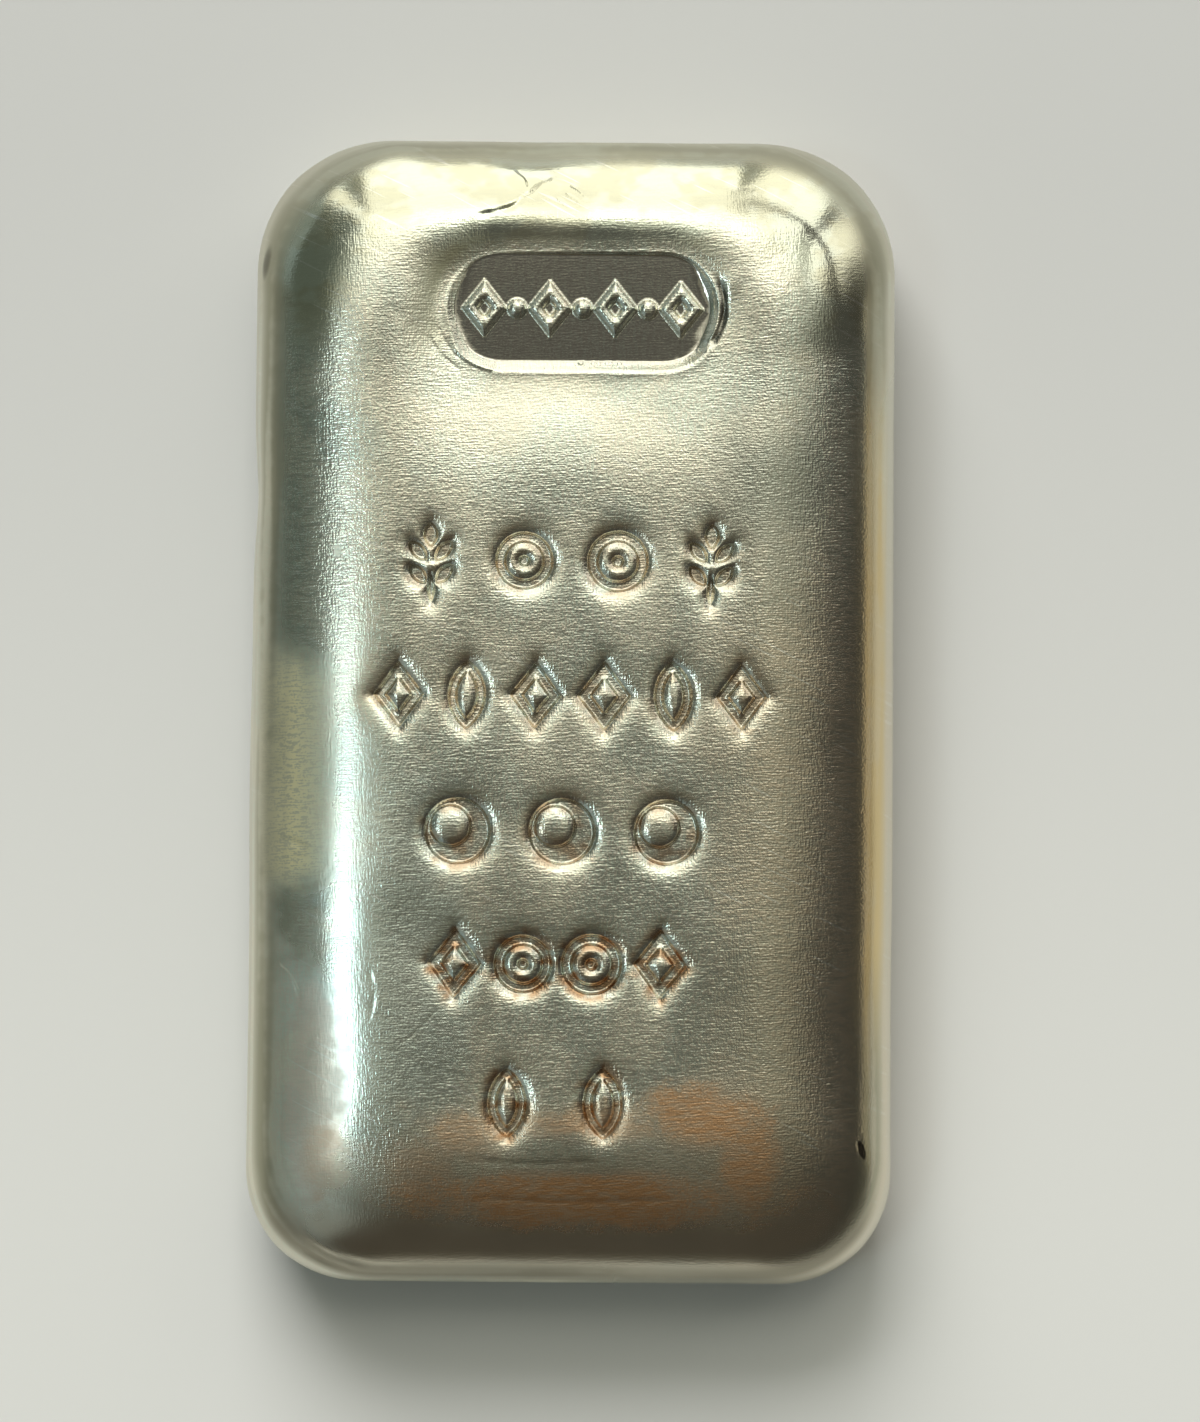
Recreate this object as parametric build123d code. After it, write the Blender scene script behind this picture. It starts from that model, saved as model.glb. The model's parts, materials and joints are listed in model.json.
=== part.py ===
"""A 100 g cast silver ingot, lying on its flat base with its struck face up.

The metal was poured into an open mould. The mould shaped the lower half: a flat base, a small radius round it
and walls with draft. Above the walls the melt stood free, and its own surface tension shaped the upper half:
steep at the rim, rounder at the corners and nearly level in the middle. It froze in that shape as one solid.

Frame, in millimetres: +Z up, +Y along the length towards the end with the struck panel, X across the width.
The origin is the middle of the base.
"""

import os
from math import cos, log, radians, sin, tan

from build123d import *

# Overall size, at the rim where the mould's walls end
LENGTH = 50.0
HEAD_WIDTH = 28.0
FOOT_WIDTH = 28.3
THICKNESS = 7.65
HEAD_CORNER_RADIUS = 5.8
FOOT_CORNER_RADIUS = 4.9

# The half that the mould shaped
WALL_DRAFT = 6.0
BASE_RADIUS = 1.2

# The half that surface tension shaped. Liquid silver has a capillary length of about 3.1 mm:
# the square root of its surface tension, 0.9 N/m, over its density times gravity.
CAPILLARY_LENGTH = 3.1
SURFACE_TILTS = (90, 64, 40, 20, 7)
CORNER_SHRINK = 0.36

# The struck panel near the head: a round-ended punch, driven in a little to the right of the middle
PANEL_X = 0.3
PANEL_Y = 17.5
PANEL_LENGTH = 11.9
PANEL_HEIGHT = 4.9
PANEL_DEPTH = 0.5
PANEL_WALL_TILT = 35.0

# The plain bead and lozenge row that stands up from the panel's floor
ORNAMENT_RISE = 0.3
ORNAMENT_TAPER = 25.0
ORNAMENT_PITCH = 1.42
BEAD_RADIUS = 0.42
LOZENGE_WIDTH = 1.7
LOZENGE_HEIGHT = 2.2
ORNAMENT_COUNT = 7

# Grams in a cubic centimetre
FINE_SILVER_DENSITY = 10.49


def drop_below_level(tilt):
    """How far below the level melt its surface lies, where it has tilted by that many degrees."""
    return 2 * CAPILLARY_LENGTH * sin(radians(tilt) / 2)


def reach(tilt):
    """The surface's place across the rim, counted inwards, where it has tilted by that many degrees."""
    return -CAPILLARY_LENGTH * (log(tan(radians(tilt) / 4)) + 2 * cos(radians(tilt) / 2))


def inset_from_rim(tilt):
    """How far inside the rim, where the surface stands upright, it has eased to that tilt."""
    return reach(tilt) - reach(90)


def plan(inset, z):
    """The ingot's outline, taken in by an inset on all sides, as a face at height z."""
    half_length = LENGTH / 2 - inset
    half_head = HEAD_WIDTH / 2 - inset
    half_foot = FOOT_WIDTH / 2 - inset
    shrink = CORNER_SHRINK * inset
    with BuildSketch(Plane.XY.offset(z)) as face:
        with BuildLine():
            Polyline(
                (-half_foot, -half_length),
                (half_foot, -half_length),
                (half_head, half_length),
                (-half_head, half_length),
                close=True,
            )
        make_face()
        foot_corners = face.vertices().sort_by(Axis.Y)[:2]
        fillet(foot_corners, FOOT_CORNER_RADIUS - shrink)
        head_corners = face.vertices().sort_by(Axis.Y)[-2:]
        fillet(head_corners, HEAD_CORNER_RADIUS - shrink)
    return face.sketch.face()


def height(tilt):
    """The height of the free surface where it has tilted by that many degrees."""
    return THICKNESS - drop_below_level(tilt) + drop_below_level(SURFACE_TILTS[-1])


def free_surface_half():
    """The upper half: a loft through the outlines that the melt's surface has at a few tilts."""
    return loft([plan(inset_from_rim(tilt), height(tilt)) for tilt in SURFACE_TILTS])


def mould_half():
    """The lower half: walls with draft down to the flat base, and the mould's radius round it."""
    rim_height = height(SURFACE_TILTS[0])
    block = extrude(plan(0, 0), amount=rim_height)
    upright_walls = block.faces().filter_by(Axis.Z, reverse=True)
    drafted = draft(upright_walls, Plane.XY.offset(rim_height), -WALL_DRAFT)
    base_edges = drafted.faces().sort_by(Axis.Z)[0].edges()
    return fillet(base_edges, BASE_RADIUS)


def panel_floor_height():
    return THICKNESS - PANEL_DEPTH


def struck_panel():
    """The space that the panel's punch left, wider at its mouth than at its floor."""
    wall_run = PANEL_DEPTH * tan(radians(PANEL_WALL_TILT))
    floor = SlotOverall(PANEL_LENGTH - 2 * wall_run, PANEL_HEIGHT - 2 * wall_run)
    place = Pos(PANEL_X, PANEL_Y, panel_floor_height())
    return extrude(place * floor, amount=2 * PANEL_DEPTH, taper=-PANEL_WALL_TILT)


def bead_and_lozenge_row():
    """Beads and upright lozenges by turns, in relief on the panel's floor."""
    row = []
    for place in range(ORNAMENT_COUNT):
        x = PANEL_X + (place - (ORNAMENT_COUNT - 1) / 2) * ORNAMENT_PITCH
        if place % 2:
            shape = Circle(BEAD_RADIUS)
        else:
            half_width, half_height = LOZENGE_WIDTH / 2, LOZENGE_HEIGHT / 2
            shape = make_face(
                Polyline((half_width, 0), (0, half_height), (-half_width, 0), (0, -half_height), close=True)
            )
        on_floor = Pos(x, PANEL_Y, panel_floor_height()) * shape
        row.append(extrude(on_floor, amount=ORNAMENT_RISE, taper=ORNAMENT_TAPER))
    return row


def ingot():
    body = mould_half() + free_surface_half()
    body -= struck_panel()
    for ornament in bead_and_lozenge_row():
        body += ornament
    return body


os.makedirs("parts", exist_ok=True)
solid = ingot().solid()
export_step(solid, "parts/ingot.step")
volume = solid.volume / 1000
print(f"volume {volume:.3f} cm3, mass in fine silver {volume * FINE_SILVER_DENSITY:.1f} g")
print("size", solid.bounding_box().size, "valid", solid.is_valid)
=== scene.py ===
# %% [markdown]
# A cast silver ingot, 50 mm long, lies on white paper under soft window light.
# It is one solid piece of metal, so this lesson is about one mesh: how the melt's own surface gives it its
# form, how hammered punches mark it, and how brushed and lightly toned silver is shaded.

import json
from math import cos, log, pi, radians, sin, sqrt, tan

import bpy
import numpy as np
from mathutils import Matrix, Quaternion, Vector
from mathutils.geometry import delaunay_2d_cdt
from mathutils.kdtree import KDTree

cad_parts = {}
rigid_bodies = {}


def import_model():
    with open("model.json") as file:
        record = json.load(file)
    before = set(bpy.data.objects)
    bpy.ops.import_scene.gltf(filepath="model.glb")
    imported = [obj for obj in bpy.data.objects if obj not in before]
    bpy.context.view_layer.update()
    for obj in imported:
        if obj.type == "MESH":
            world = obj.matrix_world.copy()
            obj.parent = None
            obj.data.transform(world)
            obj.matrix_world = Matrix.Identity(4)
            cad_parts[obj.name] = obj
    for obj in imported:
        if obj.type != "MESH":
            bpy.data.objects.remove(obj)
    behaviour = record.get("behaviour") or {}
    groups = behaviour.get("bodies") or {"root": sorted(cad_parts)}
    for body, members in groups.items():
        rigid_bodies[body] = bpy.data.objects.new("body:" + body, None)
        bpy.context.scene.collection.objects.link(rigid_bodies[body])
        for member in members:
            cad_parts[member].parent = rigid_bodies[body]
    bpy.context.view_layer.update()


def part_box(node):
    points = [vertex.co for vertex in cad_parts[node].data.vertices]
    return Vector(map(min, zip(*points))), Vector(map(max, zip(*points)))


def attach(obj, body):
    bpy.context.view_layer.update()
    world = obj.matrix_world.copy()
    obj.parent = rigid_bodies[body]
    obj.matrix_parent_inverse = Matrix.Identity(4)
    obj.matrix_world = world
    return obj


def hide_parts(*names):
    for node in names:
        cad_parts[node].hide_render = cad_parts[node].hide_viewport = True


MM = 0.001
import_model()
low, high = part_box("ingot")
print("the solid measures", [round((b - a) / MM, 2) for a, b in zip(low, high)], "mm")

# %% [markdown]
# The Standard view transform shows a colour as it is written, so the greys of a photograph and of a render
# can be compared. Everything else about the picture stays as Blender has it.

# %% Colour management, and a helper that puts a thing in the scene
bpy.context.scene.view_settings.view_transform = "Standard"
print("colours are shown by", bpy.context.scene.view_settings.view_transform)


def link(name, data):
    thing = bpy.data.objects.new(name, data)
    bpy.context.scene.collection.objects.link(thing)
    return thing


# %% [markdown]
# The ingot was photographed from almost straight above and 21 cm away. A lens of 121 mm at that distance
# takes in 62 mm of the table along the picture's long side, and keeps the little perspective that the
# photograph has.
# The ingot lies half a degree askew in the picture, so the camera is turned by that much about its own line.

# %% The camera
CAMERA_DISTANCE = 210 * MM
CAMERA_ELEVATION = radians(88.5)
CAMERA_ROLL = radians(0.5)
PICTURE_LENGTH = 62.3 * MM
PICTURE_CENTRE = Vector((1.2, 0.0, 3.6)) * MM

camera_data = bpy.data.cameras.new("camera")
camera_data.lens = camera_data.sensor_width * CAMERA_DISTANCE / PICTURE_LENGTH
camera_data.dof.use_dof = False
camera = link("camera", camera_data)
line_of_sight = Vector((0.0, -cos(CAMERA_ELEVATION), sin(CAMERA_ELEVATION)))
level_view = line_of_sight.to_track_quat("Z", "Y")
camera.rotation_mode = "QUATERNION"
camera.rotation_quaternion = Quaternion(line_of_sight, CAMERA_ROLL) @ level_view
camera.location = PICTURE_CENTRE + CAMERA_DISTANCE * line_of_sight
bpy.context.scene.camera = camera
print("the lens is", round(camera_data.lens, 1), "mm")

# %% [markdown]
# A node tree that follows a formula is easier to read as arithmetic than as a list of nodes. This small class
# stands for a number in a tree: adding or multiplying two of them adds the Math node that does it. It serves
# Geometry Nodes and materials alike, because both use the same Math node.


# %% Arithmetic that builds node trees
def plug(tree, value, socket):
    """Feeds a socket with a flowing value, or sets it to a plain one."""
    if isinstance(value, Flow):
        tree.links.new(value.socket, socket)
    else:
        socket.default_value = value


def add_node(tree, kind, settings=None, **inputs):
    """A node with its settings and its inputs, which are given by name with _ for a space."""
    node = tree.nodes.new(kind)
    for setting, value in (settings or {}).items():
        setattr(node, setting, value)
    for name, value in inputs.items():
        plug(tree, value, node.inputs[name.replace("_", " ")])
    return node


def calculate(tree, operation, *values):
    """A Math node that is fed with the values, which are flowing or plain."""
    node = add_node(tree, "ShaderNodeMath", {"operation": operation})
    for value, socket in zip(values, node.inputs):
        plug(tree, value, socket)
    return Flow(tree, node.outputs[0])


class Flow:
    """A number or vector that flows through a node tree."""

    def __init__(self, tree, socket):
        self.tree = tree
        self.socket = socket

    def do(self, operation, *others):
        return calculate(self.tree, operation, self, *others)

    def __add__(self, other):
        return self.do("ADD", other)

    def __sub__(self, other):
        return self.do("SUBTRACT", other)

    def __mul__(self, other):
        return self.do("MULTIPLY", other)

    def __truediv__(self, other):
        return self.do("DIVIDE", other)

    def __neg__(self):
        return self.do("MULTIPLY", -1.0)

    def __rsub__(self, other):
        return calculate(self.tree, "SUBTRACT", other, self)

    __radd__ = __add__
    __rmul__ = __mul__


def blend(start, end, share):
    """From start, where share is 0, to end, where it is 1."""
    return share.do("MULTIPLY_ADD", end - start, start)


# %% [markdown]
# A melt in an open mould ends in a free surface. Where it has tilted by an angle, it lies below the level
# middle by 2a sin(angle / 2), where a is the metal's capillary length, 3.1 mm for silver. Along the skin the
# angle dies away as 4 atan(exp(-s / a)), which can be solved either way. So the ingot can be made like a
# tablecloth: a flat sheet, drawn over that shape so that lengths from the rim inwards are kept.
# Below the rim the sheet follows the mould: a wall with a little draft, and a small radius to the base.

# %% The driving sizes, in millimetres
CAPILLARY_LENGTH = 3.1
HALF_LENGTH = (high.y - low.y) / MM / 2 - 0.03
HEAD_HALF_WIDTH = 13.98
FOOT_HALF_WIDTH = 14.11
HEAD_CORNER_RADIUS = 5.8
FOOT_CORNER_RADIUS = 4.9
CORNER_SHRINK = 0.5
TOP_HEIGHT = high.z / MM - 0.09
LEVEL_TILT = radians(7)
WALL_TILT = radians(96)
BASE_RADIUS = 1.2

drawn_in_at_rim = 2 * CAPILLARY_LENGTH * (1 - cos(pi / 4))
level_drop = 2 * CAPILLARY_LENGTH * sin(LEVEL_TILT / 2)
rim_height = TOP_HEIGHT - 2 * CAPILLARY_LENGTH * sin(pi / 4) + level_drop
wall_length = (rim_height - BASE_RADIUS * (1 + cos(WALL_TILT))) / sin(WALL_TILT)
base_arc = BASE_RADIUS * (pi - WALL_TILT)
sheet_half_width = (HEAD_HALF_WIDTH + FOOT_HALF_WIDTH) / 2 + drawn_in_at_rim
sheet_half_length = HALF_LENGTH + drawn_in_at_rim
print("the rim is", round(rim_height, 2), "mm up")
print("the wall is", round(wall_length, 2), "mm long, and the arc below it", round(base_arc, 2), "mm")

# %% [markdown]
# The marks are sunk with hand punches of hardened steel. Each punch is drawn here as flat faces, once, at its
# real size of about 3 mm: an ear of grain, a leaf, a lozenge, a moon and a ring with a dot. They are all made
# from three outlines, and a line of the mark is the band between an outline and the same one taken in.


# %% Outlines that the punches are made from, in millimetres
def circle(radius, taken_in=0.0, points=40):
    turns = np.linspace(0, 2 * pi, points, endpoint=False)
    return (radius - taken_in) * np.column_stack((np.cos(turns), np.sin(turns)))


def leaf(width, height, taken_in=0.0, points=13):
    """Two equal arcs that meet in a point at the top and at the bottom."""
    radius = (height**2 + width**2) / (4 * width)
    centre = radius - width / 2
    inner = radius - taken_in
    half_turn = np.arccos(centre / inner)
    turns = np.linspace(-half_turn, half_turn, points)
    right = np.column_stack((inner * np.cos(turns) - centre, inner * np.sin(turns)))
    return np.vstack((right, -right[1:-1]))


def lozenge(width, height, taken_in=0.0):
    half_width, half_height = width / 2, height / 2
    inner_radius = half_width * half_height / sqrt(half_width**2 + half_height**2)
    corners = np.array([(half_width, 0), (0, half_height), (-half_width, 0), (0, -half_height)])
    return corners * (1 - taken_in / inner_radius)


# %% [markdown]
# A punch is a mesh of such bands and patches. Turning and shifting an outline places it in the punch.


# %% The five punches
def place(outline, x=0.0, y=0.0, turn=0.0):
    turned = outline @ np.array(((cos(turn), sin(turn)), (-sin(turn), cos(turn))))
    return turned + (x, y)


def band(outer, inner):
    """The faces of a line of the mark, between two outlines with as many points."""
    count = len(outer)
    faces = [(i, (i + 1) % count, count + (i + 1) % count, count + i) for i in range(count)]
    return np.vstack((outer, inner)), faces


def patch(outline):
    return outline, [tuple(range(len(outline)))]


def flat_mesh(name, parts):
    """One flat mesh from several (points, faces) parts, in metres."""
    points, faces = [], []
    for part_points, part_faces in parts:
        faces += [tuple(len(points) + i for i in face) for face in part_faces]
        points += [(x * MM, y * MM, 0.0) for x, y in part_points]
    mesh = bpy.data.meshes.new(name)
    mesh.from_pydata(points, [], faces)
    return mesh


LINE = 0.5


def ear_of_grain():
    grains = [patch(place(leaf(0.66, 1.1), y=1.1))]
    for level in (-0.85, 0.15):
        for side in (-1, 1):
            grains.append(patch(place(leaf(0.6, 1.15), side * 0.56, level + 0.25, -side * radians(42))))
    stem = patch(place(leaf(0.36, 1.3), y=-1.2))
    return grains + [stem]


def outlined_leaf():
    return [band(leaf(1.7, 3.1), leaf(1.7, 3.1, 0.44))]


def outlined_lozenge():
    return [band(lozenge(2.3, 3.0), lozenge(2.3, 3.0, LINE))]


def ring_and_dot():
    return [band(circle(1.3), circle(1.3, LINE)), patch(circle(0.27, points=16))]


def moon_in_a_ring():
    return [band(circle(1.45), place(circle(0.82), -0.3, 0.22))]


PUNCHES = {
    "ear": ear_of_grain,
    "leaf": outlined_leaf,
    "lozenge": outlined_lozenge,
    "moon": moon_in_a_ring,
    "ring": ring_and_dot,
}
punches = bpy.data.collections.new("punches")
for name, draw in PUNCHES.items():
    punches.objects.link(bpy.data.objects.new(name, flat_mesh(name, draw())))

# %% [markdown]
# Five rows were struck down the middle of the ingot: four marks, then six, three, four and two. What repeats
# is placed by Geometry Nodes: a point for each blow, and on each point the punch that its number picks. A
# hand never holds a punch quite straight, so each mark is turned and sized a little apart, from fixed seeds.

# %% The rows, in millimetres: height on the face, middle, pitch and punches
ROWS = (
    (6.35, -0.1, 4.05, ("ear", "ring", "ring", "ear")),
    (0.55, -0.1, 2.97, ("lozenge", "leaf", "lozenge", "lozenge", "leaf", "lozenge")),
    (-5.3, -0.4, 4.5, ("moon", "moon", "moon")),
    (-11.0, -0.55, 2.95, ("lozenge", "ring", "ring", "lozenge")),
    (-17.0, -0.6, 4.1, ("leaf", "leaf")),
)
blows, picks = [], []
for y, middle, pitch, names in ROWS:
    for number, name in enumerate(names):
        x = middle + (number - (len(names) - 1) / 2) * pitch
        blows.append((x * MM, y * MM, 0.0))
        picks.append(sorted(PUNCHES).index(name))
blow_mesh = bpy.data.meshes.new("blows")
blow_mesh.from_pydata(blows, [], [])
blow_mesh.attributes.new("punch", "INT", "POINT").data.foreach_set("value", picks)
marks = link("marks", blow_mesh)
print(len(blows), "blows in", len(ROWS), "rows")


# %% [markdown]
# A Geometry Nodes tree gets its inputs first, each with a name and a kind. A modifier's value for one of them
# is set by the socket's identifier, so a small function looks that up by name.


# %% Helpers that make a tree and set a modifier
def new_tree(name, **inputs):
    """A Geometry Nodes tree, its group input and output, and named inputs of the kinds given."""
    tree = bpy.data.node_groups.new(name, "GeometryNodeTree")
    tree.is_modifier = True
    tree.interface.new_socket("Geometry", in_out="OUTPUT", socket_type="NodeSocketGeometry")
    tree.interface.new_socket("Geometry", in_out="INPUT", socket_type="NodeSocketGeometry")
    for input_name, kind in inputs.items():
        socket_type = "NodeSocket" + kind
        tree.interface.new_socket(input_name.replace("_", " "), in_out="INPUT", socket_type=socket_type)
    group_in = tree.nodes.new("NodeGroupInput")
    group_out = tree.nodes.new("NodeGroupOutput")
    return tree, group_in, group_out


def apply_tree(piece, tree, **values):
    """Runs the tree on the piece and returns what it makes as a plain mesh."""
    modifier = piece.modifiers.new(tree.name, "NODES")
    modifier.node_group = tree
    inputs = [item for item in tree.interface.items_tree if item.in_out == "INPUT"]
    identifiers = {item.name: item.identifier for item in inputs}
    for name, value in values.items():
        modifier[identifiers[name.replace("_", " ")]] = value
    bpy.context.view_layer.update()
    evaluated = piece.evaluated_get(bpy.context.evaluated_depsgraph_get())
    mesh = bpy.data.meshes.new_from_object(evaluated)
    piece.modifiers.remove(modifier)
    return mesh


# %% The tree that strikes the rows
def striking_tree():
    tree, group_in, group_out = new_tree(
        "strike the rows", Punches="Collection", Turn="Float", Size_change="Float", Material="Material"
    )
    turn = Flow(tree, group_in.outputs["Turn"])
    change = Flow(tree, group_in.outputs["Size change"])
    faces = add_node(
        tree,
        "GeometryNodeCollectionInfo",
        Collection=Flow(tree, group_in.outputs["Punches"]),
        Separate_Children=True,
        Reset_Children=True,
    )
    pick = add_node(tree, "GeometryNodeInputNamedAttribute", {"data_type": "INT"}, Name="punch")
    turned = tree.nodes.new("FunctionNodeRandomValue")
    plug(tree, -turn, turned.inputs[2])
    plug(tree, turn, turned.inputs[3])
    turned.inputs["Seed"].default_value = 4
    sized = tree.nodes.new("FunctionNodeRandomValue")
    plug(tree, 1.0 - change, sized.inputs[2])
    plug(tree, 1.0 + change, sized.inputs[3])
    sized.inputs["Seed"].default_value = 9
    rotation = add_node(tree, "ShaderNodeCombineXYZ", Z=Flow(tree, turned.outputs[1]))
    scale = Flow(tree, sized.outputs[1])
    sizes = add_node(tree, "ShaderNodeCombineXYZ", X=scale, Y=scale, Z=1.0)
    struck = add_node(
        tree,
        "GeometryNodeInstanceOnPoints",
        Points=Flow(tree, group_in.outputs["Geometry"]),
        Instance=Flow(tree, faces.outputs[0]),
        Pick_Instance=True,
        Instance_Index=Flow(tree, pick.outputs[0]),
        Rotation=Flow(tree, rotation.outputs[0]),
        Scale=Flow(tree, sizes.outputs[0]),
    )
    plain = add_node(tree, "GeometryNodeRealizeInstances", Geometry=Flow(tree, struck.outputs[0]))
    finished = add_node(
        tree,
        "GeometryNodeSetMaterial",
        Geometry=Flow(tree, plain.outputs[0]),
        Material=Flow(tree, group_in.outputs["Material"]),
    )
    plug(tree, Flow(tree, finished.outputs[0]), group_out.inputs[0])
    return tree


silver = bpy.data.materials.new("brushed_silver")
silver.use_nodes = True
marks.data = apply_tree(
    marks, striking_tree(), Punches=punches, Turn=radians(2.2), Size_change=0.03, Material=silver
)
print("the struck marks have", len(marks.data.polygons), "flat faces")

# %% [markdown]
# Near the head a larger punch has sunk a round-ended panel about half a millimetre deep. Standing up from its
# floor is a plain row of beads and lozenges. Both are drawn as flat faces too, in the places that the solid
# has them.

# %% The panel and its relief, in millimetres
PANEL_X = 0.3
PANEL_Y = 17.35
PANEL_LENGTH = 11.9
PANEL_HEIGHT = 5.0
ORNAMENT_PITCH = 1.42
ORNAMENT_COUNT = 7


def round_ended(length, height, points=25):
    """A slot's outline: two half circles joined by straight sides."""
    radius = height / 2
    turns = np.linspace(-pi / 2, pi / 2, points)
    right = radius * np.column_stack((np.cos(turns), np.sin(turns))) + (length / 2 - radius, 0)
    return np.vstack((right, -right))


panel_outline = place(round_ended(PANEL_LENGTH, PANEL_HEIGHT), PANEL_X, PANEL_Y)
panel = link("panel", flat_mesh("panel", [patch(panel_outline)]))
ornaments = []
for number in range(ORNAMENT_COUNT):
    x = PANEL_X + (number - (ORNAMENT_COUNT - 1) / 2) * ORNAMENT_PITCH
    if number % 2:
        ornaments.append(patch(place(circle(0.44, points=20), x, PANEL_Y - 0.05)))
    else:
        outer, inner = lozenge(2.0, 2.5), lozenge(2.0, 2.5, 0.58)
        ornaments.append(band(place(outer, x, PANEL_Y - 0.05), place(inner, x, PANEL_Y - 0.05)))
relief = link("relief", flat_mesh("relief", ornaments))
print("the panel has", ORNAMENT_COUNT, "ornaments")

# %% [markdown]
# The sheet is flat, and has points only where they are needed. Near the rim and down the walls they lie on
# rings, so that the sheet bends cleanly there. The middle has an even scatter, and across every edge that a
# punch cuts there is a comb of points a few hundredths of a millimetre apart. A Delaunay triangulation joins
# them, and always makes the fattest triangles that the points allow.

# %% Rings round the sheet, in millimetres
CORNER_STEPS = 24
LONG_SIDE_STEPS = 104
SHORT_SIDE_STEPS = 46


def sheet_ring(inset):
    """Points round the sheet, at an inset from the rim or, where that is negative, beyond it."""
    shrink = CORNER_SHRINK if inset > 0 else 1.0
    half_width, half_length = sheet_half_width - inset, sheet_half_length - inset
    points = []
    for number, (side_x, side_y) in enumerate(((1, 1), (-1, 1), (-1, -1), (1, -1))):
        plain = HEAD_CORNER_RADIUS if side_y > 0 else FOOT_CORNER_RADIUS
        radius = plain + drawn_in_at_rim - shrink * inset
        centre = np.array((side_x * (half_width - radius), side_y * (half_length - radius)))
        turns = number * pi / 2 + np.linspace(0, pi / 2, CORNER_STEPS + 1)
        arc = centre + radius * np.column_stack((np.cos(turns), np.sin(turns)))
        next_steps = SHORT_SIDE_STEPS if number % 2 == 0 else LONG_SIDE_STEPS
        points.append((arc, next_steps))
    ring = []
    for number, (arc, steps) in enumerate(points):
        following = points[(number + 1) % 4][0][0]
        shares = np.linspace(0, 1, steps, endpoint=False)[1:, None]
        ring += [arc, arc[-1] + (following - arc[-1]) * shares]
    return np.vstack(ring)


ring_insets = np.concatenate(
    (
        np.linspace(3.0, 0.0, 16),
        -np.linspace(0.0, wall_length, 10)[1:],
        -wall_length - np.linspace(0.0, base_arc, 9)[1:],
    )
)
rings = [sheet_ring(inset) for inset in ring_insets]
around = len(rings[0])
print(len(rings), "rings of", around, "points")


# %% Combs of points across the edges that the punches cut
def boundary_edges(mesh):
    """The ends of each edge that belongs to one face only, in millimetres."""
    uses = {}
    for polygon in mesh.polygons:
        for key in polygon.edge_keys:
            uses[key] = uses.get(key, 0) + 1
    points = np.array([vertex.co[:2] for vertex in mesh.vertices]) / MM
    ends = np.array([key for key, count in uses.items() if count == 1])
    return points[ends[:, 0]], points[ends[:, 1]]


def comb(starts, ends, offsets, pitch=0.075):
    """Points along each edge and at each offset to both sides, each with the room that it claims round it."""
    found = []
    for start, end in zip(starts, ends):
        along = end - start
        length = float(np.hypot(*along))
        count = max(1, round(length / pitch))
        across = np.array((-along[1], along[0])) / max(length, 1e-9)
        for row, offset in enumerate(sorted({side * offset for offset in offsets for side in (-1, 1)})):
            shares = (np.arange(count) + 0.25 + 0.5 * (row % 2)) / count
            room = np.full((count, 1), max(0.032, 0.38 * abs(offset)))
            found.append(np.hstack((start + along * shares[:, None] + across * offset, room)))
    return np.vstack(found)


MARK_OFFSETS = (0, 0.035, 0.07, 0.11, 0.17, 0.27, 0.42, 0.62)
PANEL_OFFSETS = (0, 0.08, 0.16, 0.24, 0.32, 0.42, 0.55, 0.75, 1.0)
RELIEF_OFFSETS = (0, 0.05, 0.1, 0.16, 0.24)

combs = [
    comb(*boundary_edges(marks.data), MARK_OFFSETS),
    comb(*boundary_edges(panel.data), PANEL_OFFSETS),
    comb(*boundary_edges(relief.data), RELIEF_OFFSETS),
]
print([len(points) for points in combs], "points in the combs")

# %% [markdown]
# A few creases are part of the casting's own surface: where two tongues of melt met near the head, ripples of
# the last metal to freeze at the foot, wrinkles in the mould's corner and some scratches. Each is a line of
# points with a width, a depth and a step between its two sides, and needs a comb of its own.

# %% The creases, in millimetres: points, width, depth and step
def arc_points(centre_x, centre_y, radius, start, end):
    turns = np.radians(np.linspace(start, end, 12))
    return [(centre_x + radius * cos(turn), centre_y + radius * sin(turn)) for turn in turns]


def rounded(points):
    """The line with its corners cut twice over, which leaves an even curve."""
    for _ in range(2):
        cut = [points[0]]
        for (x0, y0), (x1, y1) in zip(points, points[1:]):
            cut.append((0.75 * x0 + 0.25 * x1, 0.75 * y0 + 0.25 * y1))
            cut.append((0.25 * x0 + 0.75 * x1, 0.25 * y0 + 0.75 * y1))
        points = cut + [points[-1]]
    return points


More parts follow.
